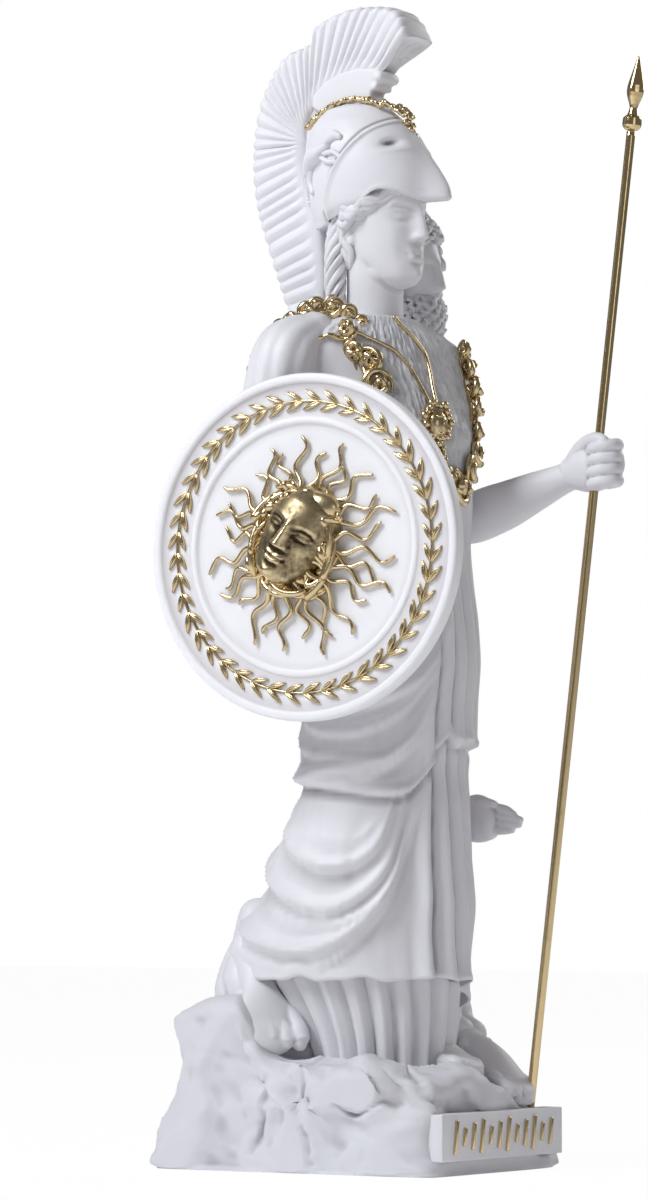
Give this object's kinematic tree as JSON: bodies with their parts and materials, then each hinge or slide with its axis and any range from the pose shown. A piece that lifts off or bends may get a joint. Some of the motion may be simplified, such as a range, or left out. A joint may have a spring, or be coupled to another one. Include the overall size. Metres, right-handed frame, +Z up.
{
  "type": "athena statue with shield and spear",
  "caption": "White and gold statue of a helmeted goddess with round shield and spear, a robed companion behind her, on a rock plinth.",
  "frame": {"origin": "on the flat underside of the plinth, below the goddess", "axes": "+Z up, the goddess and the plaque face -Y, the shield is on the -X side"},
  "size_m": [0.1339, 0.1429, 0.3876],
  "materials": {
    "white_casting": "satin white alabaster with antique gold paint on the carved trim",
    "white_shield": "satin white alabaster with antique gold relief",
    "brass_rod": "polished",
    "brass_head": "polished, aged in the grooves"
  },
  "bodies": {
    "root": {"statue": "white_casting", "shield": "white_shield", "spear_shaft": "brass_rod", "spear_head": "brass_head"}
  },
  "joints": []
}
